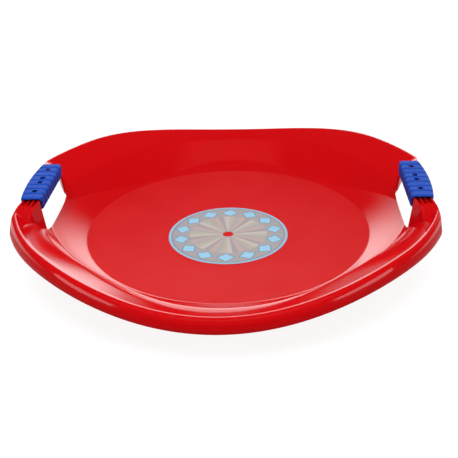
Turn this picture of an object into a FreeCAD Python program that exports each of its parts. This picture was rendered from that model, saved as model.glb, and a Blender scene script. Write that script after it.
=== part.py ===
"""Saucer sled: a moulded pan with two bridged hand holes, snap-on grips and a round floor label."""
import FreeCAD, Part
import math
import os

V = FreeCAD.Vector
ORIGIN, X_AXIS, Y_AXIS, Z_AXIS = V(0, 0, 0), V(1, 0, 0), V(0, 1, 0), V(0, 0, 1)

# Pan, millimetres. Heights count from the top of the flat floor centre, insets from the lip's outside.
OVERALL_DIAMETER = 560.0
WALL = 3.0
FLOOR_INSET = 92.5
FLOOR_RISE = 11.0

# Ramp: a shallow band round the floor, broad at the hand holes and narrow on the diagonals
RAMP_WIDTH_FRONT = 22.0
RAMP_WIDTH_DIAGONAL = 7.0
RAMP_WIDTH_SIDE = 46.0
RAMP_SLOPE_FRONT = 0.25
RAMP_SLOPE = 0.5

# Shoulder between the wall and the rim flange, cut back along the flange
SHOULDER_INSET_FRONT = 34.0
SHOULDER_INSET_DIAGONAL = 61.0
SHOULDER_INSET_SIDE = 42.0
SHOULDER_HEIGHT_FRONT = 41.0
SHOULDER_HEIGHT_DIAGONAL = 46.7
SHOULDER_HEIGHT_SIDE = 36.0
SHOULDER_CUT = 3.0
SHOULDER_CUT_DIAGONAL = 14.0

# Rim: low at the front and back, raised along both sides, with a rolled lip outside
RIM_HEIGHT_FRONT = 48.6
RIM_HEIGHT_SIDE = 70.5
RIM_DIP_ANGLE = 52.0
LIP_RADIUS = 11.0
LIP_SKIRT = 4.0
LIP_STEPS = 2
RING_POINTS = 16
RING_ROUNDNESS = 0.001

# Hand holes: notches in the raised rim, with the lip outside them trimmed straight
HOLE_HALF_LENGTH = 54.0
HOLE_INSET = 52.0
HOLE_CORNER = 1.5
LIP_TRIM = 21.0

# Handle bar: upright ribs on a thin web that runs down to the rim at each end, over a hollow root
RIB_COUNT = 4
RIB_PITCH = 6.4
RIB_ROOT_PITCH = 4.8
RIB_THICKNESS = 2.4
RIB_LEAN = 0.11
ROOT_REACH = 27.0
ROOT_SPLAY = 10.0
ROOT_LAP = 5.0
ROOT_EMBED = 1.8
ROOT_SINK = 0.2
ROOT_STEPS = 4
BAR_INSET = 36.2
BAR_RISE = 7.5
BAR_HEIGHT = 12.0
BAR_WEB = 2.4

# Grip shells round the bar
GRIP_CLEARANCE = 0.3
GRIP_OVERHANG = 1.0
GRIP_END_SLANT = 5.0
GRIP_INNER_WALL = 1.8
GRIP_OUTER_WALL = 1.2
GRIP_TOP_WALL = 3.2
GRIP_BOTTOM_WALL = 2.2
GRIP_BOW = 4.5
GRIP_CHAMFER = 2.5
RIDGE_COUNT = 8
RIDGE_HEIGHT = 1.0
RIDGE_FLANK = 0.2

# Snap pegs of the lower shell, in holes through the web and the upper shell
PEG_DIAMETER = 3.2
PEG_CLEARANCE = 1.0
PEG_WEB_CLEARANCE = 0.5
PEG_RECESS = 2.2
PEG_RIDGES = (1, 3, 4, 6)

# Label stuck on the flat floor centre
LABEL_DIAMETER = 160.0
LABEL_THICKNESS = 0.4
LABEL_HOLE_DIAMETER = 14.5
LABEL_MARGIN = 6.0

LIP_OUTER = OVERALL_DIAMETER / 2
FLOOR_RADIUS = LIP_OUTER - FLOOR_INSET
FLAT_RADIUS = LABEL_DIAMETER / 2 + LABEL_MARGIN
BAR_X = LIP_OUTER - BAR_INSET
BAR_HALF_WIDTH = (RIB_COUNT - 1) * RIB_PITCH / 2 + RIB_THICKNESS / 2
BAR_TOP = RIM_HEIGHT_SIDE + BAR_RISE
BAR_BOTTOM = BAR_TOP - BAR_HEIGHT
GRIP_TOP = BAR_TOP + GRIP_CLEARANCE + GRIP_TOP_WALL
GRIP_BOTTOM = BAR_BOTTOM - GRIP_CLEARANCE - GRIP_BOTTOM_WALL
GRIP_SPLIT = (BAR_TOP + BAR_BOTTOM) / 2
GRIP_TOP_HALF = HOLE_HALF_LENGTH + GRIP_OVERHANG
GRIP_BOTTOM_HALF = GRIP_TOP_HALF - GRIP_END_SLANT
GRIP_INNER_X = BAR_X - BAR_HALF_WIDTH - GRIP_CLEARANCE - GRIP_INNER_WALL
GRIP_OUTER_X = BAR_X + BAR_HALF_WIDTH + GRIP_CLEARANCE + GRIP_OUTER_WALL


def four_lobe(front, diagonal, side, azimuth):
    """Blend three driving values smoothly round the sled; azimuth is in radians from +X."""
    mean = (front + side + 2 * diagonal) / 4
    return (mean - (front - side) / 2 * math.cos(2 * azimuth)
            + (front + side - 2 * diagonal) / 4 * math.cos(4 * azimuth))


def shoulder(azimuth):
    """Radius and height of the corner where the inner wall turns into the rim flange."""
    inset = four_lobe(SHOULDER_INSET_FRONT, SHOULDER_INSET_DIAGONAL, SHOULDER_INSET_SIDE, azimuth)
    height = four_lobe(SHOULDER_HEIGHT_FRONT, SHOULDER_HEIGHT_DIAGONAL, SHOULDER_HEIGHT_SIDE, azimuth)
    return LIP_OUTER - inset, height


def rim_height(azimuth):
    """Height of the rim crest: a cosine dip at the front and back, level along the sides."""
    from_front = abs(math.degrees(azimuth) % 180 - 90)
    share = min(from_front / RIM_DIP_ANGLE, 1)
    rise = (1 - math.cos(math.pi * share)) / 2
    return RIM_HEIGHT_FRONT + (RIM_HEIGHT_SIDE - RIM_HEIGHT_FRONT) * rise


def ramp_edge(azimuth):
    """Radius and height where the ramp round the floor turns up into the wall."""
    width = four_lobe(RAMP_WIDTH_FRONT, RAMP_WIDTH_DIAGONAL, RAMP_WIDTH_SIDE, azimuth)
    slope = four_lobe(RAMP_SLOPE_FRONT, RAMP_SLOPE, RAMP_SLOPE, azimuth)
    return FLOOR_RADIUS + width, FLOOR_RISE + width * slope


def shoulder_start(azimuth, corner, end):
    """Point of the flange where the wall meets it, cut back most on the diagonals."""
    cut = four_lobe(SHOULDER_CUT, SHOULDER_CUT_DIAGONAL, SHOULDER_CUT, azimuth)
    share = cut / math.dist(corner, end)
    return tuple(a + (b - a) * share for a, b in zip(corner, end))


def floor_section():
    """Dished floor from the edge of the flat centre to its edge, the same all round."""
    return [(FLAT_RADIUS, 0), (FLOOR_RADIUS, FLOOR_RISE)]


def lip_section(corner, crest):
    """Rolled lip: an arc that the flange from the corner meets tangentially, then a short skirt."""
    centre = (LIP_OUTER - LIP_RADIUS, crest - LIP_RADIUS)
    run, rise = centre[0] - corner[0], centre[1] - corner[1]
    slope = math.atan2(rise, run) + math.asin(LIP_RADIUS / math.hypot(run, rise))
    points = []
    for step in range(LIP_STEPS + 1):
        angle = (slope + math.pi / 2) * (1 - step / LIP_STEPS)
        points.append((centre[0] + LIP_RADIUS * math.cos(angle), centre[1] + LIP_RADIUS * math.sin(angle)))
    return points + [(LIP_OUTER, centre[1] - LIP_SKIRT)]


def top_section(azimuth):
    """Upper skin from the flat floor out over the rolled lip, as (radius, height) points."""
    floor = floor_section()
    corner = shoulder(azimuth)
    lip = lip_section(corner, rim_height(azimuth))
    return floor + [ramp_edge(azimuth), shoulder_start(azimuth, corner, lip[0])] + lip


def under_section(azimuth):
    """Lower skin: the upper skin offset by the wall, corner by corner, and round at the floor edge."""
    top = top_section(azimuth)
    ends = [(0, 0)] + top
    normals = []
    for (r0, z0), (r1, z1) in zip(ends, ends[1:]):
        length = math.hypot(r1 - r0, z1 - z0)
        normals.append(((z1 - z0) / length, (r0 - r1) / length))
    normals.append(normals[-1])
    points = []
    for index, ((r, z), before, after) in enumerate(zip(top, normals, normals[1:])):
        after = before if index == len(floor_section()) - 1 else after
        reach = WALL / (1 + before[0] * after[0] + before[1] * after[1])
        points.append((r + reach * (before[0] + after[0]), z + reach * (before[1] + after[1])))
    return points


def skin_height(x, y):
    """Height of the pan's upper skin over a point of the plan, inside the lip's outer edge."""
    radius = math.hypot(x, y)
    section = top_section(math.atan2(y, x))
    for (r0, z0), (r1, z1) in zip(section, section[1:]):
        if r0 <= radius <= r1:
            return z0 + (z1 - z0) * (radius - r0) / (r1 - r0)
    return section[-1][1]


def closed_ring(angles, row):
    """Closed wire through one (radius, height) point for each angle: a circle if they agree, or a curve."""
    radius, height = row[0]
    if max(math.dist(row[0], point) for point in row) < RING_ROUNDNESS:
        return Part.Wire([Part.makeCircle(radius, V(0, 0, WALL + height))])
    points = [V(r * math.cos(a), r * math.sin(a), WALL + z) for a, (r, z) in zip(angles, row)]
    stations = [step / len(points) for step in range(len(points) + 1)]
    curve = Part.BSplineCurve()
    curve.interpolate(Points=points, PeriodicFlag=True, Parameters=stations)
    return Part.Wire([curve.toShape()])


def pan_shell():
    """Dish with floor, wall, flange and rolled lip, lofted ring by ring over the lip and back under."""
    angles = [2 * math.pi * step / RING_POINTS for step in range(RING_POINTS)]
    sections = [top_section(a) + under_section(a)[::-1] for a in angles]
    rings = [closed_ring(angles, row) for row in zip(*sections)]
    return Part.makeLoft(rings, True, True)


def mirrored(shape):
    """Copy of a right-hand shape on the left side."""
    return shape.mirror(ORIGIN, X_AXIS)


def rib_x(index):
    """Middle of a rib of the right handle, counted from the inside."""
    return BAR_X + (index - (RIB_COUNT - 1) / 2) * RIB_PITCH


def rib_slope(index):
    """How far a rib moves outward for each millimetre of its root."""
    return (ROOT_SPLAY - index * (RIB_PITCH - RIB_ROOT_PITCH)) / ROOT_REACH


def on_rib(index, y, z):
    """Point of the leaning middle plane of a rib's root, at the front end of the right handle."""
    lean = RIB_LEAN * (WALL + BAR_TOP - z)
    return V(rib_x(index) + rib_slope(index) * (y - HOLE_HALF_LENGTH) - lean, y, z)


def landing(index, y):
    """Point where a rib's middle plane meets the upper skin of the rim."""
    point = on_rib(index, y, WALL + BAR_TOP)
    for _ in range(ROOT_STEPS):
        point = on_rib(index, y, WALL + skin_height(point.x, y))
    return point


def root_plate(index, outline, thickness):
    """Flat plate on a rib's middle plane."""
    normal = V(1, -rib_slope(index), -RIB_LEAN).normalize()
    face = Part.Face(Part.makePolygon([on_rib(index, p.y, p.z) for p in outline + outline[:1]]))
    face.translate(normal * (-thickness / 2))
    return face.extrude(normal * thickness)


def root_wall():
    """Innermost rib's root: a wall that stands on the rim from the corner of the hand hole."""
    stations = [HOLE_HALF_LENGTH + ROOT_REACH * step / ROOT_STEPS for step in range(ROOT_STEPS + 1)]
    foot = [landing(0, y) - Z_AXIS * ROOT_EMBED for y in stations]
    crest = [landing(0, stations[-1]), on_rib(0, HOLE_HALF_LENGTH, WALL + BAR_TOP)]
    return root_plate(0, foot + crest, WALL)


def root_rib(index):
    """Root of an outer rib, running down the root's skin to the rim."""
    tip = landing(index, HOLE_HALF_LENGTH + ROOT_REACH)
    foot = on_rib(index, HOLE_HALF_LENGTH, WALL + BAR_BOTTOM + BAR_WEB / 2)
    crest = on_rib(index, HOLE_HALF_LENGTH, WALL + BAR_TOP)
    return root_plate(index, [crest, foot, tip - Z_AXIS * ROOT_EMBED, tip], RIB_THICKNESS)


def root_skin():
    """Skin under the ribs, from inside the bar's web down into the rim at the front of the right handle."""
    level = WALL + BAR_BOTTOM + BAR_WEB - ROOT_SINK
    rim_y = HOLE_HALF_LENGTH + ROOT_REACH
    at_bar = [on_rib(index, HOLE_HALF_LENGTH, level) for index in range(RIB_COUNT)]
    at_rim = [landing(index, rim_y) - Z_AXIS * ROOT_SINK for index in range(RIB_COUNT)]
    ends = []
    for top in (at_bar, at_rim):
        low = [point - Z_AXIS * (BAR_WEB - 2 * ROOT_SINK) for point in reversed(top)]
        ends.append(Part.makePolygon(top + low + top[:1]))
    return Part.makeLoft(ends, True, True)


def hand_hole_cutters():
    """Blocks that open the right hand hole, hollow its roots and trim the lip outside the handle."""
    tall = 2 * GRIP_TOP
    inner_x = LIP_OUTER - HOLE_INSET
    notch = Part.makeBox(LIP_OUTER, 2 * HOLE_HALF_LENGTH, tall, V(inner_x, -HOLE_HALF_LENGTH, -WALL))
    uprights = [e for e in notch.Edges if min(e.BoundBox.ZLength, BAR_X - e.CenterOfMass.x) > WALL]
    notch = notch.makeFillet(HOLE_CORNER, [e for e in uprights if e.BoundBox.YLength < WALL])
    far_y = HOLE_HALF_LENGTH + ROOT_REACH - ROOT_LAP
    near, far = landing(0, HOLE_HALF_LENGTH), landing(0, far_y)
    plan = [V(near.x, 0, 0), V(near.x, near.y, 0), V(far.x, far_y, 0), V(OVERALL_DIAMETER, far_y, 0),
            V(OVERALL_DIAMETER, 0, 0)]
    root = prism(plan, Z_AXIS * tall)
    trim = Part.makeBox(LIP_OUTER, 2 * LIP_OUTER, tall, V(LIP_OUTER - LIP_TRIM, -LIP_OUTER, -WALL))
    return [notch, root, root.mirror(ORIGIN, Y_AXIS), trim]


def handle_bar():
    """Right handle: a web with a hole for each snap peg, its ribs, and a root at each end."""
    span = 2 * (HOLE_HALF_LENGTH + RIB_THICKNESS)
    web = Part.makeBox(2 * BAR_HALF_WIDTH, span, BAR_WEB,
                       V(BAR_X - BAR_HALF_WIDTH, -span / 2, WALL + BAR_BOTTOM))
    for y in peg_places():
        web = web.cut(peg_cylinder(PEG_DIAMETER / 2 + PEG_WEB_CLEARANCE, y, BAR_BOTTOM, BAR_TOP))
    corners = [V(rib_x(i) - RIB_THICKNESS / 2, -span / 2, WALL + BAR_BOTTOM) for i in range(RIB_COUNT)]
    ribs = [Part.makeBox(RIB_THICKNESS, span, BAR_HEIGHT, corner) for corner in corners]
    roots = [root_wall(), root_skin()] + [root_rib(index) for index in range(1, RIB_COUNT)]
    return web.fuse(ribs + roots + [root.mirror(ORIGIN, Y_AXIS) for root in roots])


def sled_pan():
    """Whole one-piece moulding: dish, hand holes and both handle bars."""
    cutters = hand_hole_cutters()
    bar = handle_bar()
    pan = pan_shell().cut(cutters + [mirrored(cutter) for cutter in cutters])
    return pan.fuse([bar, mirrored(bar)])


def peg_places():
    """Positions along the grip of the snap pegs, each on the middle of a ridge."""
    pitch = 2 * GRIP_TOP_HALF / RIDGE_COUNT
    return [-GRIP_TOP_HALF + (ridge + 1 / 2) * pitch for ridge in PEG_RIDGES]


def peg_cylinder(radius, y, bottom, top):
    """Upright cylinder on the line of the snap pegs between two heights."""
    return Part.makeCylinder(radius, top - bottom, V(BAR_X, y, WALL + bottom))


def ridged_line(half_length, place, outward):
    """Points along a row of flat-topped ridges; place maps a length along the row to a point."""
    points = [place(-half_length)]
    for ridge in range(RIDGE_COUNT):
        for share, rise in ((RIDGE_FLANK, RIDGE_HEIGHT), (1 - RIDGE_FLANK, RIDGE_HEIGHT), (1, 0)):
            length = half_length * (2 * (ridge + share) / RIDGE_COUNT - 1)
            points.append(place(length) + outward * rise)
    return points


def prism(outline, direction):
    """Solid made by pushing a closed outline along a direction."""
    return Part.Face(Part.makePolygon(outline + outline[:1])).extrude(direction)


def grip_body():
    """Outside of the right grip: ridged, bowed outside and eased where the fingers curl under."""
    margin = 2 * RIDGE_HEIGHT
    low, high = WALL + GRIP_BOTTOM, WALL + GRIP_TOP
    start_x, end_x = GRIP_INNER_X - margin, GRIP_OUTER_X + GRIP_BOW + margin
    crown = ridged_line(GRIP_TOP_HALF, lambda y: V(start_x, y, high), Z_AXIS)
    belly = [V(start_x, GRIP_BOTTOM_HALF, low), V(start_x, -GRIP_BOTTOM_HALF, low)]
    side_view = prism(crown + belly, X_AXIS * (end_x - start_x))

    def bowed(y):
        return V(GRIP_OUTER_X + GRIP_BOW * (1 - (y / GRIP_TOP_HALF) ** 2), y, low - margin)

    inner = ridged_line(GRIP_TOP_HALF, lambda y: V(GRIP_INNER_X, y, low - margin), -X_AXIS)
    outer = ridged_line(GRIP_TOP_HALF, bowed, X_AXIS)
    plan_view = prism(inner + outer[::-1], Z_AXIS * (high - low + 2 * margin))
    edge = V(GRIP_INNER_X - margin, -2 * GRIP_TOP_HALF, low - margin)
    leg = GRIP_CHAMFER + 2 * margin
    easing = prism([edge, edge + X_AXIS * leg, edge + Z_AXIS * leg], Y_AXIS * 4 * GRIP_TOP_HALF)
    return side_view.common(plan_view).cut(easing)


def grip_shells():
    """Upper and lower shells of the right grip, hollowed for the bar and pegged together."""
    length = 4 * GRIP_TOP_HALF
    half_width = BAR_HALF_WIDTH + GRIP_CLEARANCE
    hollow = Part.makeBox(2 * half_width, length, BAR_HEIGHT + 2 * GRIP_CLEARANCE,
                          V(BAR_X - half_width, -length / 2, WALL + BAR_BOTTOM - GRIP_CLEARANCE))
    above = Part.makeBox(2 * LIP_OUTER, length, GRIP_TOP, V(0, -length / 2, WALL + GRIP_SPLIT))
    body = grip_body().cut(hollow)
    upper, lower = body.common(above), body.cut(above)
    peg_foot = GRIP_BOTTOM + GRIP_BOTTOM_WALL / 2
    for y in peg_places():
        hole = peg_cylinder(PEG_DIAMETER / 2 + PEG_CLEARANCE, y, GRIP_SPLIT, GRIP_TOP + 2 * RIDGE_HEIGHT)
        upper = upper.cut(hole)
        lower = lower.fuse(peg_cylinder(PEG_DIAMETER / 2, y, peg_foot, GRIP_TOP - PEG_RECESS))
    return upper, lower


def centre_label():
    """Thin round label with a hole over the middle of the floor."""
    disc = Part.makeCylinder(LABEL_DIAMETER / 2, LABEL_THICKNESS, V(0, 0, WALL))
    return disc.cut(Part.makeCylinder(LABEL_HOLE_DIAMETER / 2, LABEL_THICKNESS, V(0, 0, WALL)))


def main():
    """Build every node and write it as a STEP file of its own."""
    os.makedirs("parts", exist_ok=True)
    upper, lower = grip_shells()
    nodes = {
        "sled_pan": sled_pan(),
        "right_grip_upper": upper,
        "right_grip_lower": lower,
        "left_grip_upper": mirrored(upper),
        "left_grip_lower": mirrored(lower),
        "centre_label": centre_label(),
    }
    for name, shape in nodes.items():
        solid = shape.Solids[0] if len(shape.Solids) == 1 else shape
        solid.exportStep(f"parts/{name}.step")
        print(name, "solids", len(shape.Solids), "valid", solid.isValid(), "faces", len(solid.Faces))


main()
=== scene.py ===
"""Saucer sled: a red moulded pan with ribbed handle bars, blue grips and a round floor label."""
import logging
import math
from dataclasses import dataclass
from enum import Enum
from typing import Callable, Optional

import bpy
from mathutils import Matrix, Vector

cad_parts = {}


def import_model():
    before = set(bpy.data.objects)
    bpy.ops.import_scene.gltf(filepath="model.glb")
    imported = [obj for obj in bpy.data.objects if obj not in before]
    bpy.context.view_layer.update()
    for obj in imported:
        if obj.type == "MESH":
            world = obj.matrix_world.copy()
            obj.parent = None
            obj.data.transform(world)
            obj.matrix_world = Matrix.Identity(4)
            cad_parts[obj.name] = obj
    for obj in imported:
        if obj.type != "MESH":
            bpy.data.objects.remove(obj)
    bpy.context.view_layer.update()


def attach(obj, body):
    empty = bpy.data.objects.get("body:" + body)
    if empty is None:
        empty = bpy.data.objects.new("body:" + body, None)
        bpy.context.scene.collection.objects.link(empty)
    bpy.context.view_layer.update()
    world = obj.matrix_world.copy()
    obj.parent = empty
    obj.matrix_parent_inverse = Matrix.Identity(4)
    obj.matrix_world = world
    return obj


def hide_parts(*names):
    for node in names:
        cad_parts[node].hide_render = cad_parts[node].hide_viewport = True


LOG = logging.getLogger("saucer_sled")
MM = 0.001
MERGE_MM = 0.01
# Numbers of the colour sockets of a Mix node: its two inputs and its result
MIX_FROM, MIX_TO, MIX_RESULT = 6, 7, 2

Point = tuple[float, float]
Place = Callable[[float, float], Vector]


class Side(Enum):
    """Side of the sled that a handle is on, as its sign along X."""

    RIGHT = 1
    LEFT = -1


# ---- shared helpers


def linear(code: str) -> tuple[float, float, float, float]:
    """Turn an sRGB hex colour into linear RGBA.

    Args:
        code: six hex digits, such as "c01018".

    Returns:
        Red, green, blue and alpha for a shader socket.
    """
    channels = [int(code[i:i + 2], 16) / 255 for i in (0, 2, 4)]
    lit = [c / 12.92 if c <= 0.04045 else ((c + 0.055) / 1.055) ** 2.4 for c in channels]
    return (lit[0], lit[1], lit[2], 1.0)


def add_node(tree: bpy.types.NodeTree, kind: str, inputs: Optional[dict] = None,
             **settings) -> bpy.types.Node:
    """Add a shader node with its settings and links.

    Args:
        tree: node tree that takes the node.
        kind: node type, such as "ShaderNodeMath".
        inputs: input name or number to a value, or to an output socket to link.
        settings: properties of the node itself.

    Returns:
        The new node.
    """
    node = tree.nodes.new(kind)
    for name, value in settings.items():
        setattr(node, name, value)
    for name, value in (inputs or {}).items():
        if isinstance(value, bpy.types.NodeSocket):
            tree.links.new(value, node.inputs[name])
        else:
            node.inputs[name].default_value = value
    return node


def select_only(piece: bpy.types.Object) -> None:
    """Select just this object and make it active.

    Args:
        piece: object that the next operators act on.
    """
    bpy.ops.object.select_all(action="DESELECT")
    piece.select_set(True)
    bpy.context.view_layer.objects.active = piece


def named(name: str) -> bpy.types.Object:
    """Give the active object and its mesh a name.

    Args:
        name: the new name.

    Returns:
        The active object.
    """
    piece = bpy.context.active_object
    piece.name = piece.data.name = name
    return piece


def close_surface(piece: bpy.types.Object) -> None:
    """Merge the seams and poles of a surface and turn its faces outward.

    Args:
        piece: object with the surface.
    """
    select_only(piece)
    bpy.ops.object.mode_set(mode="EDIT")
    bpy.ops.mesh.select_all(action="SELECT")
    bpy.ops.mesh.remove_doubles(threshold=MERGE_MM * MM)
    bpy.ops.mesh.normals_make_consistent(inside=False)
    bpy.ops.object.mode_set(mode="OBJECT")


def apply_modifier(piece: bpy.types.Object, kind: str, **settings) -> None:
    """Add a modifier with its settings and apply it.

    Args:
        piece: object that takes the modifier.
        kind: modifier type, such as "SOLIDIFY".
        settings: properties of the modifier.
    """
    select_only(piece)
    modifier = piece.modifiers.new(kind.title(), kind)
    for name, value in settings.items():
        setattr(modifier, name, value)
    bpy.ops.object.modifier_apply(modifier=modifier.name)


def cut_or_join(piece: bpy.types.Object, tool: bpy.types.Object, operation: str) -> None:
    """Combine a piece with a tool body and remove the tool.

    Args:
        piece: object that stays.
        tool: closed body to subtract or unite.
        operation: "DIFFERENCE" or "UNION".
    """
    apply_modifier(piece, "BOOLEAN", object=tool, operation=operation, solver="EXACT")
    bpy.data.objects.remove(tool, do_unlink=True)


def sheet(name: str, columns: int, rows: int, place: Place) -> bpy.types.Object:
    """Lay a grid on a surface.

    Args:
        name: name of the new object.
        columns: faces along the first direction.
        rows: faces along the second direction.
        place: maps two shares from 0 to 1 to a point in millimetres.

    Returns:
        The open sheet.
    """
    bpy.ops.object.select_all(action="DESELECT")
    bpy.ops.mesh.primitive_grid_add(x_subdivisions=columns, y_subdivisions=rows, size=1)
    piece = named(name)
    for vertex in piece.data.vertices:
        vertex.co = place(vertex.co.x + 0.5, vertex.co.y + 0.5) * MM
    return piece


def prism(name: str, outline: list[Vector], height: float) -> bpy.types.Object:
    """Push a level outline upward.

    Args:
        name: name of the new object.
        outline: corners in millimetres, all on one level.
        height: how far up it is pushed, in millimetres.

    Returns:
        The closed body.
    """
    bpy.ops.object.select_all(action="DESELECT")
    bpy.ops.mesh.primitive_circle_add(vertices=len(outline), radius=1, fill_type="NGON")
    piece = named(name)
    for vertex, corner in zip(piece.data.vertices, outline):
        vertex.co = corner * MM
    bpy.ops.object.mode_set(mode="EDIT")
    bpy.ops.mesh.select_all(action="SELECT")
    bpy.ops.mesh.extrude_region_move(TRANSFORM_OT_translate={"value": (0, 0, height * MM)})
    bpy.ops.object.mode_set(mode="OBJECT")
    close_surface(piece)
    return piece


def rod(name: str, centre: Vector, diameter: float, height: float,
        tip: Optional[float] = None, vertices: int = 32) -> bpy.types.Object:
    """Upright round rod, which may taper over its upper half.

    Args:
        name: name of the new object.
        centre: middle of its foot in millimetres.
        diameter: in millimetres.
        height: in millimetres.
        tip: diameter of its upper end in millimetres, if it tapers.
        vertices: corners of the circle.

    Returns:
        The closed body.
    """
    rows = ((0, 0), (0, 1), (0.5, 1), (1, 1 if tip is None else tip / diameter), (1, 0))

    def place(around: float, along: float) -> Vector:
        """Point of the rod's skin.

        Args:
            around: share of the turn.
            along: share of the way from the middle of the foot to the middle of the top.

        Returns:
            The point in millimetres.
        """
        level, size = rows[round(along * (len(rows) - 1))]
        reach, turn = size * diameter / 2, math.tau * around
        return centre + Vector((reach * math.cos(turn), reach * math.sin(turn), level * height))

    piece = sheet(name, vertices, len(rows) - 1, place)
    close_surface(piece)
    return piece


def dress(piece: bpy.types.Object, material: bpy.types.Material, smooth_angle: float) -> None:
    """Give a piece its material and smooth its faces.

    Args:
        piece: the finished mesh.
        material: material of all its faces.
        smooth_angle: largest angle in degrees that is smoothed over.
    """
    piece.data.materials.clear()
    piece.data.materials.append(material)
    select_only(piece)
    bpy.ops.object.shade_smooth_by_angle(angle=math.radians(smooth_angle))


def hand_over(piece: bpy.types.Object, node: str) -> None:
    """Put a finished piece in the place of its CAD node and report it.

    Args:
        piece: the dressed piece.
        node: CAD node that it replaces.
    """
    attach(piece, "root")
    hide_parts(node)
    LOG.info("%s: %d faces", piece.name, len(piece.data.polygons))


# ---- finishes


@dataclass(frozen=True)
class MouldedPlastic:
    """Through-coloured moulded plastic with the surface that its mould leaves."""

    name: str
    colour: str
    flow_colour: str
    roughness: tuple[float, float]
    specular: float
    grain_mm: float
    grain_depth_mm: float
    flow_mm: float = 55.0
    flow_range: tuple[float, float] = (0.3, 0.7)
    noise_detail: float = 2.0

    def material(self) -> bpy.types.Material:
        """Build the material: pigment with faint flow clouds, and gloss broken by a mould's grain.

        Returns:
            The material, with its pattern on Object coordinates.
        """
        material = bpy.data.materials.new(self.name)
        material.use_nodes = True
        tree = material.node_tree
        shader = tree.nodes["Principled BSDF"]
        where = add_node(tree, "ShaderNodeTexCoord").outputs["Object"]
        flow, grain = (add_node(tree, "ShaderNodeTexNoise", {
            "Vector": where, "Scale": 1 / (size * MM), "Detail": self.noise_detail}).outputs[0]
            for size in (self.flow_mm, self.grain_mm))
        ends = {"Value": flow, "From Min": self.flow_range[0], "From Max": self.flow_range[1]}
        cloud = add_node(tree, "ShaderNodeMapRange", ends)
        tint = add_node(tree, "ShaderNodeMix", {
            "Factor": cloud.outputs[0], MIX_FROM: linear(self.colour),
            MIX_TO: linear(self.flow_colour)}, data_type="RGBA")
        gloss = add_node(tree, "ShaderNodeMapRange", {
            **ends, "To Min": self.roughness[0], "To Max": self.roughness[1]})
        bump = add_node(tree, "ShaderNodeBump", {
            "Height": grain, "Strength": 1.0, "Distance": self.grain_depth_mm * MM})
        tree.links.new(tint.outputs[MIX_RESULT], shader.inputs["Base Color"])
        tree.links.new(gloss.outputs[0], shader.inputs["Roughness"])
        tree.links.new(bump.outputs[0], shader.inputs["Normal"])
        shader.inputs["Specular IOR Level"].default_value = self.specular
        return material


class PanFinish(Enum):
    """Finishes of the pan's polypropylene, with painted sheen on the grained floor and painted
    shade on the plain outside.
    """

    # The walls and ramps come off a polished mould and mirror the studio, a little unevenly
    POLISHED = MouldedPlastic(
        "red_polished_polypropylene", colour="d4050c", flow_colour="cf060d",
        roughness=(0.08, 0.11), specular=0.45, grain_mm=30.0, grain_depth_mm=0.06)
    # The floor is grained and looks dull; its colour is a little paler, a painted sheen for the
    # milky veil that the grain gives. A real grain is too fine to show, so it is drawn coarser
    GRAINED_WITH_PAINTED_SHEEN = MouldedPlastic(
        "red_grained_polypropylene_painted_sheen", colour="d32023", flow_colour="cf1d20",
        roughness=(0.4, 0.46), specular=0.02, grain_mm=2.5, grain_depth_mm=0.15)
    # The outside of the lip and the underside are plain moulded and hardly mirror anything; their
    # colour is a little darker, which is painted shade
    PLAIN = MouldedPlastic(
        "red_plain_polypropylene_painted_shade", colour="c8060c", flow_colour="c3060c",
        roughness=(0.35, 0.42), specular=0.06, grain_mm=2.0, grain_depth_mm=0.05)


# The grips are satin, with a soft sheen on each ridge; their grain is drawn coarser too
GRIP_PLASTIC = MouldedPlastic(
    "blue_satin_moulded_plastic", colour="1c4cb6", flow_colour="1a48ae",
    roughness=(0.46, 0.54), specular=0.06, grain_mm=1.5, grain_depth_mm=0.06)


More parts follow.
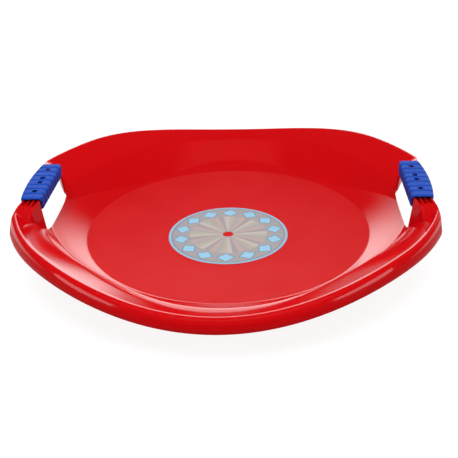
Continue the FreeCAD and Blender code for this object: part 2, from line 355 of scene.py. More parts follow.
@dataclass(frozen=True)
class PrintedFilm:
    """Printed vinyl film: a pale blue border, a band of diamonds and a field of plain rays."""

    ray_inks: tuple[str, ...] = ("bdb6ae", "a1979a", "b9a29b", "a9a1a2", "b0ac9c")
    band_ink: str = "a39d9f"
    edge_ink: str = "5f86a8"
    motif_ink: str = "93c9e4"
    ring_ink: str = "857a88"
    border_ink: str = "8cc0da"
    rays: int = 8
    band_mm: float = 52.0
    ring_mm: float = 75.0
    border_mm: float = 76.5
    motifs: int = 14
    motif_radius_mm: float = 63.5
    motif_half_mm: tuple[float, float] = (10.5, 9.5)
    motif_edge: float = 1.16
    roughness: float = 0.4
    specular: float = 0.25

    def material(self) -> bpy.types.Material:
        """Build the material: flat muted inks under a thin even sheen.

        Returns:
            The material, with its print on Object coordinates.
        """
        material = bpy.data.materials.new("printed_vinyl_film")
        material.use_nodes = True
        tree = material.node_tree
        shader = tree.nodes["Principled BSDF"]
        where = add_node(tree, "ShaderNodeTexCoord").outputs["Object"]
        parts = add_node(tree, "ShaderNodeSeparateXYZ", {0: where})
        flat = add_node(tree, "ShaderNodeVectorMath", {
            0: where, 1: (1, 1, 0)}, operation="MULTIPLY")
        length = add_node(tree, "ShaderNodeVectorMath", {0: flat.outputs[0]}, operation="LENGTH")
        radius = length.outputs["Value"]
        angle = add_node(tree, "ShaderNodeMath", {
            0: parts.outputs["Y"], 1: parts.outputs["X"]}, operation="ARCTAN2")
        turn = add_node(tree, "ShaderNodeMath", {
            0: angle.outputs[0], 1: math.tau}, operation="DIVIDE")
        shares = []
        for count in (self.rays, self.motifs):
            many = add_node(tree, "ShaderNodeMath", {
                0: turn.outputs[0], 1: count}, operation="MULTIPLY")
            shares.append(add_node(tree, "ShaderNodeMath", {0: many.outputs[0]}, operation="FRACT"))
        spoke, cell = shares
        field = add_node(tree, "ShaderNodeValToRGB", {0: spoke.outputs[0]})
        field.color_ramp.interpolation = "CONSTANT"
        stops = field.color_ramp.elements
        stops.remove(stops[-1])
        for step, ink in enumerate(self.ray_inks):
            stop = stops.new(step / len(self.ray_inks)) if step else stops[0]
            stop.color = linear(ink)
        arc = math.tau * self.motif_radius_mm / self.motifs
        half_width, half_height = self.motif_half_mm
        reach = []
        for value, middle, scale in (
                (cell.outputs[0], 0.5, arc / half_width),
                (radius, self.motif_radius_mm * MM, 1 / (half_height * MM))):
            off = add_node(tree, "ShaderNodeMath", {0: value, 1: middle}, operation="SUBTRACT")
            size = add_node(tree, "ShaderNodeMath", {0: off.outputs[0]}, operation="ABSOLUTE")
            reach.append(add_node(tree, "ShaderNodeMath", {
                0: size.outputs[0], 1: scale}, operation="MULTIPLY").outputs[0])
        diamond = add_node(tree, "ShaderNodeMath", {
            0: reach[0], 1: reach[1]}, operation="ADD").outputs[0]
        colour = field.outputs["Color"]
        for value, test, limit, ink in (
                (radius, "GREATER_THAN", self.band_mm * MM, self.band_ink),
                (diamond, "LESS_THAN", self.motif_edge, self.edge_ink),
                (diamond, "LESS_THAN", 1.0, self.motif_ink),
                (radius, "GREATER_THAN", self.ring_mm * MM, self.ring_ink),
                (radius, "GREATER_THAN", self.border_mm * MM, self.border_ink)):
            mask = add_node(tree, "ShaderNodeMath", {0: value, 1: limit}, operation=test)
            colour = add_node(tree, "ShaderNodeMix", {
                "Factor": mask.outputs[0], MIX_FROM: colour, MIX_TO: linear(ink)},
                data_type="RGBA").outputs[MIX_RESULT]
        tree.links.new(colour, shader.inputs["Base Color"])
        shader.inputs["Roughness"].default_value = self.roughness
        shader.inputs["Specular IOR Level"].default_value = self.specular
        return material


# ---- the pan


@dataclass
class SledPan:
    """One-piece pan: dished floor, ramp, wall, shoulder, flange and rolled lip.

    Heights count from the floor's top, and lengths are in millimetres. A size that changes round
    the pan has a value for the front, the diagonals and the sides, and may have one for the back.
    """

    wall: float = 3.0
    outer_radius: float = 280.0
    flat_radius: float = 86.0
    floor_radius: float = 187.5
    floor_rise: float = 11.0
    floor_curve: float = 1.15
    floor_edge_round: float = 2.0
    ramp_width: tuple[float, ...] = (29.5, 7.0, 46.0, 22.0)
    ramp_slope: tuple[float, ...] = (0.33, 0.33, 0.5, 0.25)
    ledge_slope: tuple[float, ...] = (0.1, 0.2, 0.5, 0.25)
    ledge_start: float = 0.68
    ramp_round: tuple[float, ...] = (1.2, 1.2, 1.2, 6.0)
    ramp_round_share: float = 0.8
    shoulder_inset: tuple[float, ...] = (34.0, 61.0, 42.0)
    shoulder_height: tuple[float, ...] = (41.0, 46.7, 36.0)
    shoulder_cut: tuple[float, ...] = (3.0, 14.0, 3.0)
    shoulder_round: float = 4.0
    rim_front: float = 48.6
    rim_side: float = 70.5
    rim_dip_angle: float = 52.0
    flange_drop: float = 1.0
    crest_radius: float = 271.0
    crest_round: float = 3.2
    lip_radius: float = 11.0
    lip_lean: float = 3.4
    lip_skirt: float = 4.0
    columns: int = 192
    middle_rows: int = 6
    floor_rows: int = 12
    floor_edge_rows: int = 4
    ramp_rows: int = 4
    ledge_rows: int = 3
    bend_rows: int = 6
    wall_rows: int = 7
    lip_rows: int = 10
    skirt_rows: int = 2
    plain_painted_shade_width: float = 2.5
    trim_face: float = 258.5
    underside: float = -0.1
    smooth_angle: float = 30.0

    @staticmethod
    def four_lobe(values: tuple[float, ...], azimuth: float) -> float:
        """Blend a size smoothly round the sled.

        Args:
            values: size at the front, diagonals and sides, and at the back where it differs.
            azimuth: angle from +X in radians.

        Returns:
            The size at that azimuth.
        """
        front, diagonal, side = values[:3]
        if len(values) > 3:
            front += (values[3] - front) * (1 + math.sin(azimuth)) / 2
        mean = (front + side + 2 * diagonal) / 4
        return (mean - (front - side) / 2 * math.cos(2 * azimuth)
                + (front + side - 2 * diagonal) / 4 * math.cos(4 * azimuth))

    def rim_height(self, azimuth: float) -> float:
        """Height of the rim crest.

        Args:
            azimuth: angle from +X in radians.

        Returns:
            Height in millimetres, lowest at front and back.
        """
        from_front = abs(math.degrees(azimuth) % 180 - 90)
        share = min(from_front / self.rim_dip_angle, 1)
        rise = (1 - math.cos(math.pi * share)) / 2
        return self.rim_front + (self.rim_side - self.rim_front) * rise

    def ramp(self, azimuth: float) -> tuple[Point, Point]:
        """Section of the ramp round the floor.

        Args:
            azimuth: angle from +X in radians.

        Returns:
            Where the ramp eases into a ledge, and where the ledge turns up into the wall.
        """
        width = self.four_lobe(self.ramp_width, azimuth)
        first, second = width * self.ledge_start, width * (1 - self.ledge_start)
        ease = (self.floor_radius + first,
                self.floor_rise + first * self.four_lobe(self.ramp_slope, azimuth))
        rise = second * self.four_lobe(self.ledge_slope, azimuth)
        return ease, (ease[0] + second, ease[1] + rise)

    @staticmethod
    def toward(start: Point, end: Point, share: float) -> Point:
        """Point at a share of the way from one point to another."""
        return (start[0] + (end[0] - start[0]) * share, start[1] + (end[1] - start[1]) * share)

    @staticmethod
    def straight(start: Point, end: Point, steps: int) -> list[Point]:
        """Inner points of a straight stretch in equal steps."""
        return [SledPan.toward(start, end, step / steps) for step in range(1, steps)]

    @staticmethod
    def curve(first: Point, pull: Point, last: Point, steps: int) -> list[Point]:
        """Points of a curve that a third point draws aside.

        Args:
            first: start of the curve.
            pull: point that it is drawn toward.
            last: end of the curve.
            steps: chords of the curve.

        Returns:
            Points of the curve with both ends.
        """
        points = []
        for step in range(steps + 1):
            t = step / steps
            weights = ((1 - t) ** 2, 2 * t * (1 - t), t * t)
            points.append(tuple(sum(weight * point[axis] for weight, point
                                    in zip(weights, (first, pull, last))) for axis in (0, 1)))
        return points

    @staticmethod
    def rounded(start: Point, corner: Point, end: Point, cut: float, steps: int) -> list[Point]:
        """Round a corner of the section.

        Args:
            start: point of the section before the corner.
            corner: the sharp corner.
            end: point of the section after the corner.
            cut: length taken off on each side.
            steps: chords of the curve.

        Returns:
            Points of the curve with both ends.
        """
        first, last = (SledPan.toward(corner, goal, cut / math.dist(corner, goal))
                       for goal in (start, end))
        return SledPan.curve(first, corner, last, steps)

    def section(self, azimuth: float) -> list[Point]:
        """Upper skin at an azimuth.

        Args:
            azimuth: angle from +X in radians.

        Returns:
            Radius and height from the centre to the foot of the lip's skirt.
        """
        run = self.floor_radius - self.flat_radius
        middle = [(self.flat_radius * row / self.middle_rows, 0.0)
                  for row in range(self.middle_rows)]
        floor = [(self.flat_radius + run * row / self.floor_rows,
                  self.floor_rise * (row / self.floor_rows) ** self.floor_curve)
                 for row in range(self.floor_rows + 1)]
        ease, toe = self.ramp(azimuth)

        # The flange climbs on the line that touches the lip's round from the shoulder
        shoulder = (self.outer_radius - self.four_lobe(self.shoulder_inset, azimuth),
                    self.four_lobe(self.shoulder_height, azimuth))
        lip_x = self.outer_radius - self.lip_radius
        lip_z = self.rim_height(azimuth) - self.lip_radius
        out, up = lip_x - shoulder[0], lip_z - shoulder[1]
        slope = math.atan2(up, out) + math.asin(self.lip_radius / math.hypot(out, up))
        corner = (shoulder[0], shoulder[1] - self.flange_drop)
        crest = (self.crest_radius, corner[1] + (self.crest_radius - corner[0]) * math.tan(slope))
        cut = self.four_lobe(self.shoulder_cut, azimuth)
        head = self.toward(corner, crest, cut / math.dist(corner, crest))
        bulge = (self.outer_radius - self.lip_lean, crest[1] - self.lip_lean)
        side, low = (self.outer_radius, lip_z), (self.outer_radius, lip_z - self.lip_skirt)

        foot = self.rounded(floor[-2], floor[-1], ease, self.floor_edge_round, self.floor_edge_rows)
        easing = min(self.four_lobe(self.ramp_round, azimuth),
                     self.ramp_round_share * math.dist(ease, toe))
        turn = self.rounded(ease, toe, head, easing, self.bend_rows)
        bend = self.rounded(toe, head, crest, self.shoulder_round, self.bend_rows)
        lip = self.rounded(head, crest, bulge, self.crest_round, self.bend_rows)
        lip += self.curve(lip[-1], bulge, side, self.lip_rows)[1:]
        return (middle + floor[:-1] + foot
                + self.straight(foot[-1], ease, self.ramp_rows) + [ease]
                + self.straight(ease, turn[0], self.ledge_rows) + turn
                + self.straight(turn[-1], bend[0], self.wall_rows) + bend
                + self.straight(bend[-1], lip[0], self.wall_rows) + lip
                + self.straight(side, low, self.skirt_rows) + [low])

    def skin_height(self, x: float, y: float) -> float:
        """Height of the upper skin over a point of the plan.

        Args:
            x: place along X in millimetres.
            y: place along Y in millimetres.

        Returns:
            Height in millimetres.
        """
        radius = math.hypot(x, y)
        section = self.section(math.atan2(y, x))
        for (r0, z0), (r1, z1) in zip(section, section[1:]):
            if r0 <= radius <= r1 and r1 > r0:
                return z0 + (z1 - z0) * (radius - r0) / (r1 - r0)
        return section[-1][1]

    def build(self) -> bpy.types.Object:
        """Make the shell without its hand holes.

        Returns:
            The closed shell.
        """
        sections = [self.section(math.tau * c / self.columns) for c in range(self.columns)]
        rows = len(sections[0]) - 1

        def place(across: float, along: float) -> Vector:
            """Point of the upper skin.

            Args:
                across: share of the turn from +X.
                along: share of the rows from the centre out.

            Returns:
                The point in millimetres.
            """
            column = round(across * self.columns) % self.columns
            radius, height = sections[column][round(along * rows)]
            azimuth = math.tau * column / self.columns
            x, y = radius * math.cos(azimuth), radius * math.sin(azimuth)
            return Vector((x, y, self.wall + height))

        shell = sheet("moulded_pan", self.columns, rows, place)
        close_surface(shell)
        if shell.data.polygons[0].normal.z < 0:
            shell.data.flip_normals()
        apply_modifier(shell, "SOLIDIFY", thickness=self.wall * MM, offset=-1, use_even_offset=True)
        return shell

    def finish_at(self, place: Vector, normal: Vector) -> PanFinish:
        """Choose the finish of a face.

        Args:
            place: middle of the face in millimetres.
            normal: direction that it faces.

        Returns:
            Plain with painted shade below and outside, grained with painted sheen on the
            floor and polished elsewhere.
        """
        radius = math.hypot(place.x, place.y)
        outside = radius > self.outer_radius - self.plain_painted_shade_width or abs(place.x) > self.trim_face
        # Faces below and outside take the darker plain colour, which is painted shade
        if outside or normal.z < self.underside:
            return PanFinish.PLAIN
        # The floor takes the paler grained colour, which is painted sheen
        return PanFinish.GRAINED_WITH_PAINTED_SHEEN if radius < self.floor_radius else PanFinish.POLISHED

    def dress(self, body: bpy.types.Object) -> None:
        """Give every face of the pan its finish.

        Args:
            body: the pan with its hand holes and handle bars.
        """
        finishes = list(PanFinish)
        dress(body, finishes[0].value.material(), self.smooth_angle)
        for finish in finishes[1:]:
            body.data.materials.append(finish.value.material())
        for face in body.data.polygons:
            finish = self.finish_at(face.center / MM, face.normal)
            face.material_index = finishes.index(finish)


# ---- handle bars


@dataclass
class HandleBar:
    """Hand hole of one side with the ribbed bar over it, whose roots fan down on to the rim."""

    pan: SledPan
    side: Side
    hole_half: float = 54.0
    hole_inset: float = 52.0
    lip_trim: float = 21.0
    rib_count: int = 4
    rib_pitch: float = 6.4
    rib_pitch_loss: float = 1.6
    rib_half: float = 1.2
    rib_edge: float = 0.5
    lean: float = 0.11
    gap_reach: float = 0.3
    ridge_relief: float = 1.8
    reach: float = 27.0
    splay: float = 10.0
    lap: float = 5.0
    sink: float = 0.3
    embed: float = 1.8
    bar_inset: float = 36.2
    bar_rise: float = 7.5
    bar_height: float = 12.0
    web: float = 2.4
    cutter_reach: float = 320.0
    landing_passes: int = 5
    columns_over: int = 60
    columns_under: int = 12
    bar_rows: int = 108
    root_grid: tuple[int, int] = (12, 6)

    @property
    def bar_x(self) -> float:
        """Middle of the bar along X."""
        return self.pan.outer_radius - self.bar_inset

    @property
    def top(self) -> float:
        """Height of the ribs' crests over the hole."""
        return self.pan.rim_side + self.bar_rise

    @staticmethod
    def eased(share: float) -> float:
        """Share from 0 to 1 that starts and ends gently."""
        return share * share * (3 - 2 * share)

    def rib_place(self, rib: float, y: float, height: float) -> float:
        """X of the ribs' leaning planes.

        Args:
            rib: rib number from the inside, with fractions between two ribs.
            y: length along the handle, either way.
            height: height over the floor.

        Returns:
            X on the right-hand side in millimetres.
        """
        share = max(0.0, (abs(y) - self.hole_half) / self.reach)
        out = (self.splay - rib * self.rib_pitch_loss) * (2 * share - share ** 2)
        middle = self.bar_x + (rib - (self.rib_count - 1) / 2) * self.rib_pitch
        return middle + out - self.lean * (self.top - height)

    def landing(self, rib: float, y: float) -> tuple[float, float]:
        """Find where a rib's plane meets the rim's upper skin.

        Args:
            rib: rib number from the inside.
            y: length along the handle.

        Returns:
            X and height in millimetres.
        """
        x, height = self.bar_x, self.top
        for _ in range(self.landing_passes):
            x = self.rib_place(rib, y, height)
            height = self.pan.skin_height(x, y)
        return x, height

    def mirror(self, point: Vector) -> Vector:
        """Point of the right-hand handle moved to this handle's side."""
        return Vector((point.x * self.side.value, point.y, point.z + self.pan.wall))

    def cut_hole(self, body: bpy.types.Object) -> None:
        """Open the hand hole and the hollow roots and trim the lip outside them.

        Args:
            body: the pan.
        """
        far_y = self.hole_half + self.reach - self.lap
        near_x, far_x = self.landing(0, self.hole_half)[0], self.landing(0, far_y)[0]
        inner_x = self.pan.outer_radius - self.hole_inset
        trim_x = self.pan.outer_radius - self.lip_trim
        half = [(inner_x, self.hole_half), (near_x, self.hole_half),
                (far_x, far_y), (trim_x, far_y),
                (trim_x, self.cutter_reach), (self.cutter_reach, self.cutter_reach)]
        outline = [(x, -y) for x, y in half[::-1]] + half
        corners = [self.mirror(Vector((x, y, -2 * self.pan.wall))) for x, y in outline]
        cut_or_join(body, prism("hole_cutter", corners, 2 * self.top), "DIFFERENCE")

    def ribbed_bar(self) -> bpy.types.Object:
        """Make the bar with its ribs and roots.

        Returns:
            The closed body.
        """
        first = -self.rib_half / self.rib_pitch
        last = self.rib_count - 1 + self.rib_half / self.rib_pitch
        across, around_all = self.columns_over, self.columns_over + self.columns_under
        far_y = self.hole_half + self.reach
        ribs = [first + (last - first) * column / across for column in range(across + 1)]
        tips = [self.landing(rib, far_y)[1] - self.sink for rib in ribs]

        def place(around: float, length: float) -> Vector:
            """Point of the bar's skin.

            Args:
                around: share of the way over the ribs and back below.
                length: share of the bar's length.

            Returns:
                The point in millimetres.
            """
            step = round(around * around_all) % around_all
            over = step <= across
            column = step if over else across * (around_all - step) / self.columns_under
            rib = first + (last - first) * column / across
            y = far_y * (2 * length - 1)
            share = max(0.0, (abs(y) - self.hole_half) / self.reach)
            crest = self.top + (tips[round(column)] - self.top) * share
            relief = self.ridge_relief * (1 - share)
            near = max(0.0, 1 - share / self.gap_reach)
            gap = self.bar_height - self.web - relief
            valley = crest - (relief + gap * self.eased(near))
            if not over:
                height = valley - self.web
            elif column in (0, across):
                height = crest
            else:
                off = abs(rib - round(rib)) * self.rib_pitch
                rise = (self.rib_half + self.rib_edge - off) / (2 * self.rib_edge)
                height = valley + (crest - valley) * self.eased(min(1.0, max(0.0, rise)))
            x = self.rib_place(rib, y, height if share else self.top)
            return self.mirror(Vector((x, y, height)))

        bar = sheet("ribbed_bar", around_all, self.bar_rows, place)
        self.close_ends(bar)
        return bar

    @staticmethod
    def close_ends(tube: bpy.types.Object) -> None:
        """Merge the seam of a tube and fill its two open ends.

        Args:
            tube: object with the open tube.
        """
        close_surface(tube)
        bpy.ops.object.mode_set(mode="EDIT")
        bpy.ops.mesh.select_all(action="DESELECT")
        bpy.ops.mesh.select_non_manifold()
        bpy.ops.mesh.edge_face_add()
        bpy.ops.mesh.select_all(action="SELECT")
        bpy.ops.mesh.normals_make_consistent(inside=False)
        bpy.ops.object.mode_set(mode="OBJECT")

    def root_wall(self, end: int) -> bpy.types.Object:
        """Wall that stands on the rim under the innermost rib.

        Args:
            end: 1 for the back end of the handle, -1 for the front end.

        Returns:
            The closed plate.
        """
        tip = self.landing(0, self.hole_half + self.reach)[1]

        def place(along: float, up: float) -> Vector:
            """Point of the wall's middle plane.

            Args:
                along: share of its length from the hole.
                up: share of its height.

            Returns:
                The point in millimetres.
            """
            y = self.hole_half + self.reach * along
            foot = self.landing(0, y)[1] - self.embed
            crest = self.top + (tip - self.top) * along
            height = foot + (crest - foot) * up
            return self.mirror(Vector((self.rib_place(0, y, height), y * end, height)))

        plate = sheet("root_wall", *self.root_grid, place)
        close_surface(plate)
        apply_modifier(plate, "SOLIDIFY", thickness=self.pan.wall * MM, offset=0)
        close_surface(plate)
        return plate

    def build_on(self, body: bpy.types.Object) -> None:
        """Cut the hand hole into the pan and unite the bar and its roots with it.

        Args:
            body: the pan.
        """
        self.cut_hole(body)
        for part in (self.ribbed_bar(), self.root_wall(1), self.root_wall(-1)):
            cut_or_join(body, part, "UNION")


# ---- grips


@dataclass
class Grip:
    """Ridged grip of one side: two shells snapped together round the bar."""

    bar: HandleBar
    inner_x: float = 230.9
    outer_x: float = 256.1
    bottom: float = 63.5
    crown: float = 81.5
    split: float = 72.0
    bottom_half: float = 50.0
    top_half: float = 55.0
    bow: float = 4.5
    corner: float = 4.0
    shell: float = 1.6
    ridge_count: int = 8
    ridge_height: float = 1.0
    ridge_flank: float = 0.17
    groove_depth: float = 0.6
    peg_ridges: tuple[int, ...] = (1, 3, 4, 6)
    peg_diameter: float = 3.2
    peg_tip: float = 1.2
    socket_diameter: float = 7.2
    peg_recess: float = 2.2
    corner_columns: int = 8
    ridge_rows: int = 12
    smooth_angle: float = 25.0

    def outline(self) -> list[Point]:
        """Draw the section as a square with rounded corners.

        Returns:
            Points from -1 to 1 both ways.
        """
        width, height = self.outer_x - self.inner_x, self.crown - self.bottom
        points = []
        for quarter, (sx, sz) in enumerate(((1, 1), (-1, 1), (-1, -1), (1, -1))):
            for step in range(self.corner_columns + 1):
                angle = math.radians(90 * quarter + 90 * step / self.corner_columns)
                x = sx * (width / 2 - self.corner) + self.corner * math.cos(angle)
                z = sz * (height / 2 - self.corner) + self.corner * math.sin(angle)
                points.append((2 * x / width, 2 * z / height))
        return points

    def sleeve(self) -> bpy.types.Object:
        """Make the hollow ridged sleeve.

        Returns:
            The sleeve with open ends.
        """
        outline = self.outline()
        columns = len(outline)

        def place(around: float, length: float) -> Vector:
            """Point of the outside.

            Args:
                around: share of the way round the section.
                length: share of the grip's length.

            Returns:
                The point in millimetres.
            """
            u, w = outline[round(around * columns) % columns]
            y_share = 2 * length - 1
            phase = (length * self.ridge_count) % 1
            rise = min(1.0, (1 - abs(2 * phase - 1)) / (2 * self.ridge_flank))
            swell = self.ridge_height * rise - self.groove_depth * (1 - rise)
            bow = self.bow * (1 - y_share ** 2)
            low_x, high_x = self.inner_x - swell, self.outer_x + bow + swell
            low_z, high_z = self.bottom, self.crown + swell
            x = (low_x + high_x) / 2 + u * (high_x - low_x) / 2
            z = (low_z + high_z) / 2 + w * (high_z - low_z) / 2
            half = self.bottom_half + (self.top_half - self.bottom_half) * (w + 1) / 2
            return self.bar.mirror(Vector((x, y_share * half, z)))

        tube = sheet("grip_sleeve", columns, self.ridge_count * self.ridge_rows, place)
        close_surface(tube)
        apply_modifier(tube, "SOLIDIFY", thickness=self.shell * MM, offset=-1, use_even_offset=True)
        return tube

    def peg_line(self) -> list[float]:
        """Positions of the pegs along the grip."""
        pitch = 2 * self.top_half / self.ridge_count
        return [-self.top_half + (ridge + 0.5) * pitch for ridge in self.peg_ridges]

    def half(self, sleeve: bpy.types.Object, name: str, upper: bool) -> bpy.types.Object:
        """Copy the sleeve on one side of the parting plane.

        Args:
            sleeve: the whole sleeve.
            name: name of the copy.
            upper: whether the part above the plane is kept.

        Returns:
            The closed shell.
        """
        select_only(sleeve)
        bpy.ops.object.duplicate()
        shell = named(name)
        bpy.ops.object.mode_set(mode="EDIT")
        bpy.ops.mesh.select_all(action="SELECT")
        level = (self.split + self.bar.pan.wall) * MM
        bpy.ops.mesh.bisect(plane_co=(0, 0, level), plane_no=(0, 0, 1), use_fill=True,
                            clear_inner=upper, clear_outer=not upper)
        bpy.ops.mesh.select_all(action="SELECT")
        bpy.ops.mesh.normals_make_consistent(inside=False)
        bpy.ops.object.mode_set(mode="OBJECT")
        return shell

    def build(self) -> dict[str, bpy.types.Object]:
        """Make both shells.

        Returns:
            CAD node name to the shell that stands for it.
        """
        word = self.bar.side.name.lower()
        sleeve = self.sleeve()
        upper = self.half(sleeve, f"{word}_grip_upper_shell", True)
        lower = self.half(sleeve, f"{word}_grip_lower_shell", False)
        bpy.data.objects.remove(sleeve, do_unlink=True)
        tall = self.crown - self.bottom
        for y in self.peg_line():
            foot = self.bar.mirror(Vector((self.bar.bar_x, y, self.split)))
            cut_or_join(upper, rod("socket", foot, self.socket_diameter, tall), "DIFFERENCE")
            foot = self.bar.mirror(Vector((self.bar.bar_x, y, self.bottom + self.shell / 2)))
            height = tall - self.shell / 2 - self.peg_recess
            cut_or_join(lower, rod("peg", foot, self.peg_diameter, height, self.peg_tip), "UNION")
        return {f"{word}_grip_upper": upper, f"{word}_grip_lower": lower}

    def dress(self, shell: bpy.types.Object, plastic: bpy.types.Material) -> None:
        """Give a shell its plastic."""
        dress(shell, plastic, self.smooth_angle)


# ---- label


@dataclass
class CentreLabel:
    """Round film label on the flat middle of the floor."""

    level: float
    diameter: float = 160.0
    hole: float = 14.5
    thickness: float = 0.4
    vertices: int = 160
    smooth_angle: float = 30.0

    def build(self) -> bpy.types.Object:
        """Make the disc with its hole.

        Returns:
            The closed disc.
        """
        bpy.ops.object.select_all(action="DESELECT")
        bpy.ops.mesh.primitive_circle_add(vertices=self.vertices, radius=self.diameter / 2 * MM)
        disc = named("round_label")
        bpy.ops.object.mode_set(mode="EDIT")
        bpy.ops.mesh.select_all(action="SELECT")
        bpy.ops.mesh.extrude_edges_move()
        share = self.hole / self.diameter
        bpy.ops.transform.resize(value=(share, share, 1))
        bpy.ops.mesh.select_all(action="SELECT")
        bpy.ops.mesh.normals_make_consistent(inside=False)
        bpy.ops.transform.translate(value=(0, 0, self.level * MM))
        bpy.ops.object.mode_set(mode="OBJECT")
        if disc.data.polygons[0].normal.z < 0:
            disc.data.flip_normals()
        apply_modifier(disc, "SOLIDIFY", thickness=self.thickness * MM, offset=1)
        return disc

    def dress(self, disc: bpy.types.Object) -> None:
        """Give the disc its print."""
        dress(disc, PrintedFilm().material(), self.smooth_angle)


# ---- studio


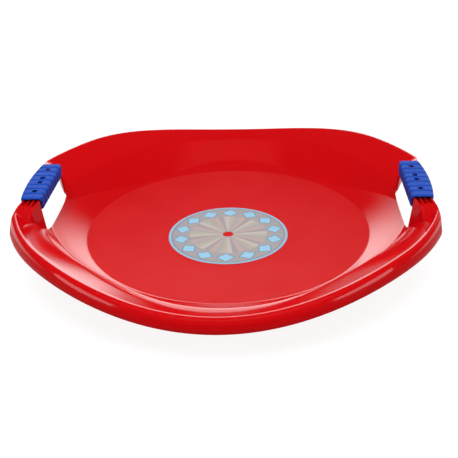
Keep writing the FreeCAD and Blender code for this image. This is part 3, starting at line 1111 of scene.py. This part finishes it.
@dataclass
class Studio:
    """Pale floor, soft light and the camera of the photograph.

    Lamps are placed in metres. The bands of the surroundings are heights of a unit direction, or
    its share toward the backdrop, where each starts and where it is full.
    """

    eye_mm: tuple[float, float, float] = (56.3, -937.1, 505.0)
    target_mm: tuple[float, float, float] = (0.0, 0.0, 3.0)
    lens: float = 61.99
    sensor: float = 36.0
    roll: float = 1.89
    shift: tuple[float, float] = (0.0019, 0.0115)
    view_depth: float = 50.0
    floor_size: float = 14.0
    floor_drop_mm: float = 0.2
    floor_colour: str = "cecece"
    floor_shade: str = "7c7c7c"
    floor_glow: float = 0.9
    below: tuple[float, float] = (0.0, -0.02)
    horizon: tuple[float, float] = (0.12, 0.05)
    horizon_glow: tuple[float, float] = (1.0, 0.35)
    horizon_side: tuple[float, float] = (0.5, 0.75)
    backdrop: float = 3.2
    backdrop_foot: tuple[float, float] = (0.03, 0.1)
    backdrop_top: tuple[float, float] = (0.56, 0.27)
    backdrop_side: tuple[float, float] = (0.77, 0.87)
    backdrop_turn: float = -8.0
    ceiling: float = 0.06
    overhead: float = 62.0
    overhead_size: tuple[float, float] = (2.2, 2.2)
    overhead_place: tuple[float, float, float] = (0.0, -0.5, 2.4)
    softbox: float = 7.7
    softbox_size: tuple[float, float] = (1.4, 0.7)
    softbox_place: tuple[float, float, float] = (1.94, -1.03, 0.9)

    def camera(self) -> None:
        """Set the camera where the photograph was taken from."""
        eye, target = Vector(self.eye_mm) * MM, Vector(self.target_mm) * MM
        ahead = (target - eye).normalized()
        level = ahead.cross(Vector((0, 0, 1))).normalized()
        upright = level.cross(ahead)
        cos, sin = math.cos(math.radians(self.roll)), math.sin(math.radians(self.roll))
        right, up = level * cos - upright * sin, level * sin + upright * cos
        bpy.ops.object.camera_add()
        camera = bpy.context.active_object
        turn = Matrix((right, up, -ahead)).transposed().to_4x4()
        camera.matrix_world = Matrix.Translation(eye) @ turn
        camera.data.lens = self.lens
        camera.data.sensor_width = self.sensor
        camera.data.shift_x, camera.data.shift_y = self.shift
        camera.data.clip_end = self.view_depth
        bpy.context.scene.camera = camera

    def floor(self) -> None:
        """Lay the pale floor: white to the eye and in reflections, with a soft shadow."""
        bpy.ops.object.select_all(action="DESELECT")
        bpy.ops.mesh.primitive_plane_add(
            size=self.floor_size, location=(0, 0, -self.floor_drop_mm * MM))
        plane = named("studio_floor")
        material = bpy.data.materials.new("pale_studio_floor")
        material.use_nodes = True
        tree = material.node_tree
        tree.nodes.remove(tree.nodes["Principled BSDF"])
        path = add_node(tree, "ShaderNodeLightPath").outputs
        either = add_node(tree, "ShaderNodeMath", {
            0: path["Is Camera Ray"], 1: path["Is Glossy Ray"]}, operation="MAXIMUM")
        seen = add_node(tree, "ShaderNodeMath", {
            0: either.outputs[0], 1: path["Is Transmission Ray"]}, operation="MAXIMUM")
        matt = add_node(tree, "ShaderNodeBsdfDiffuse", {"Color": linear(self.floor_colour)})
        dim = add_node(tree, "ShaderNodeBsdfDiffuse", {"Color": linear(self.floor_shade)})
        glow = add_node(tree, "ShaderNodeEmission", {"Strength": self.floor_glow})
        lifted = add_node(tree, "ShaderNodeAddShader", {0: dim.outputs[0], 1: glow.outputs[0]})
        mixed = add_node(tree, "ShaderNodeMixShader", {
            0: seen.outputs[0], 1: matt.outputs[0], 2: lifted.outputs[0]})
        tree.links.new(mixed.outputs[0], tree.nodes["Material Output"].inputs["Surface"])
        plane.data.materials.append(material)

    def surroundings(self) -> None:
        """Set the world: white low all round and on the backdrop, dim overhead."""
        world = bpy.data.worlds.new("studio_surroundings")
        bpy.context.scene.world = world
        world.use_nodes = True
        tree = world.node_tree
        where = add_node(tree, "ShaderNodeTexCoord").outputs["Generated"]
        height = add_node(tree, "ShaderNodeSeparateXYZ", {0: where}).outputs["Z"]
        level = add_node(tree, "ShaderNodeVectorMath", {
            0: where, 1: (1, 1, 0)}, operation="MULTIPLY")
        run = add_node(tree, "ShaderNodeVectorMath", {0: level.outputs[0]}, operation="LENGTH")
        turn = math.radians(self.backdrop_turn)
        facing = add_node(tree, "ShaderNodeVectorMath", {
            0: where, 1: (-math.sin(turn), math.cos(turn), 0)}, operation="DOT_PRODUCT")
        ahead = add_node(tree, "ShaderNodeMath", {
            0: facing.outputs["Value"], 1: run.outputs["Value"]}, operation="DIVIDE").outputs[0]
        ground, near, foot, top, behind = (
            add_node(tree, "ShaderNodeMapRange", {
                "Value": value, "From Min": start, "From Max": full},
                interpolation_type="SMOOTHSTEP").outputs[0]
            for value, (start, full) in (
                (height, self.below), (height, self.horizon), (height, self.backdrop_foot),
                (height, self.backdrop_top), (ahead, self.backdrop_side)))
        upright = add_node(tree, "ShaderNodeMath", {0: foot, 1: top}, operation="MULTIPLY")
        panel = add_node(tree, "ShaderNodeMath", {
            0: upright.outputs[0], 1: behind}, operation="MULTIPLY")
        shine = add_node(tree, "ShaderNodeMapRange", {
            "Value": panel.outputs[0], "To Min": self.ceiling, "To Max": self.backdrop})
        ring = add_node(tree, "ShaderNodeMapRange", {
            "Value": ahead, "From Min": self.horizon_side[0], "From Max": self.horizon_side[1],
            "To Min": self.horizon_glow[0], "To Max": self.horizon_glow[1]})
        glow = add_node(tree, "ShaderNodeMath", {0: near, 1: ring.outputs[0]}, operation="MULTIPLY")
        lowest = add_node(tree, "ShaderNodeMath", {
            0: ground, 1: glow.outputs[0]}, operation="MAXIMUM")
        both = add_node(tree, "ShaderNodeMath", {
            0: lowest.outputs[0], 1: shine.outputs[0]}, operation="MAXIMUM")
        background = tree.nodes["Background"]
        background.inputs["Color"].default_value = (1, 1, 1, 1)
        tree.links.new(both.outputs[0], background.inputs["Strength"])

    @staticmethod
    def lamp(name: str, place: Vector, size: tuple[float, float], energy: float,
             mirrored: bool) -> None:
        """Hang a soft lamp that looks at the sled.

        Args:
            name: name of the lamp.
            place: its middle in metres.
            size: width and height in metres.
            energy: power in watts.
            mirrored: whether glossy surfaces show it.
        """
        bpy.ops.object.light_add(type="AREA", location=place)
        lamp = bpy.context.active_object
        lamp.name = name
        lamp.data.shape = "RECTANGLE"
        lamp.data.size, lamp.data.size_y = size
        lamp.data.energy = energy
        lamp.rotation_euler = (-place).to_track_quat("-Z", "Y").to_euler()
        lamp.visible_glossy = mirrored

    def lamps(self) -> None:
        """Hang the broad lamp overhead and a softbox at either side of the camera."""
        above = Vector(self.overhead_place)
        self.lamp("overhead_lamp", above, self.overhead_size, self.overhead, False)
        out, along, up = self.softbox_place
        for side in Side:
            place = Vector((out * side.value, along, up))
            name = f"{side.name.lower()}_softbox"
            self.lamp(name, place, self.softbox_size, self.softbox, True)

    def build(self) -> None:
        """Set floor, light and camera."""
        self.floor()
        self.surroundings()
        self.lamps()
        self.camera()
        bpy.context.scene.view_settings.view_transform = "Standard"


def main() -> None:
    """Build, dress and hand over every piece, then set the studio."""
    logging.basicConfig(level=logging.INFO, format="%(message)s")
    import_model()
    pan = SledPan()
    body = pan.build()
    grip_plastic = GRIP_PLASTIC.material()
    for side in Side:
        bar = HandleBar(pan, side)
        bar.build_on(body)
        grip = Grip(bar)
        for node, shell in grip.build().items():
            grip.dress(shell, grip_plastic)
            hand_over(shell, node)
    pan.dress(body)
    hand_over(body, "sled_pan")
    label = CentreLabel(level=pan.wall)
    disc = label.build()
    label.dress(disc)
    hand_over(disc, "centre_label")
    Studio().build()


if __name__ == "__main__":
    main()
